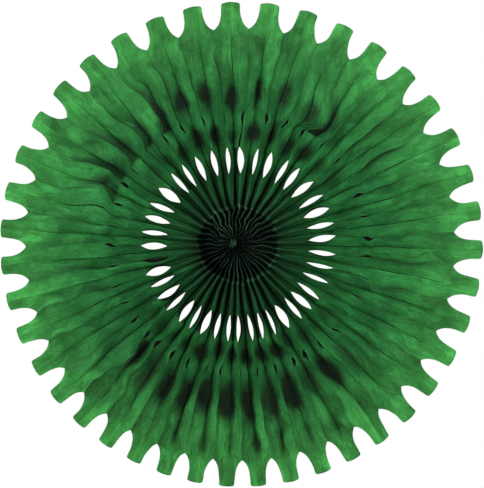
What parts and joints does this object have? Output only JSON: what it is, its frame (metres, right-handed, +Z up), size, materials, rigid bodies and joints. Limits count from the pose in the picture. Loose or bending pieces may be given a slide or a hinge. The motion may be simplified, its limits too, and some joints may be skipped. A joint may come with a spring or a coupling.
{
  "type": "paper fan medallion",
  "caption": "Round accordion-pleated tissue fan with square-tipped teeth, a ring of lens-shaped windows and a sunk, gathered centre, bound by a thread.",
  "frame": {"origin": "centre of the rim circle, halfway through the depth of the pleats", "axes": "+Z up through the glued seam, +Y out of the back, towards the wall that the fan hangs on, +X to the right as seen from the front"},
  "size_m": [0.6343, 0.0309, 0.6341],
  "materials": {
    "green_tissue": "matte, translucent tissue with fine creases",
    "green_thread": "matte twisted thread"
  },
  "bodies": {
    "root": {"tissue_fan": "green_tissue", "hub_thread": "green_thread"}
  },
  "joints": []
}
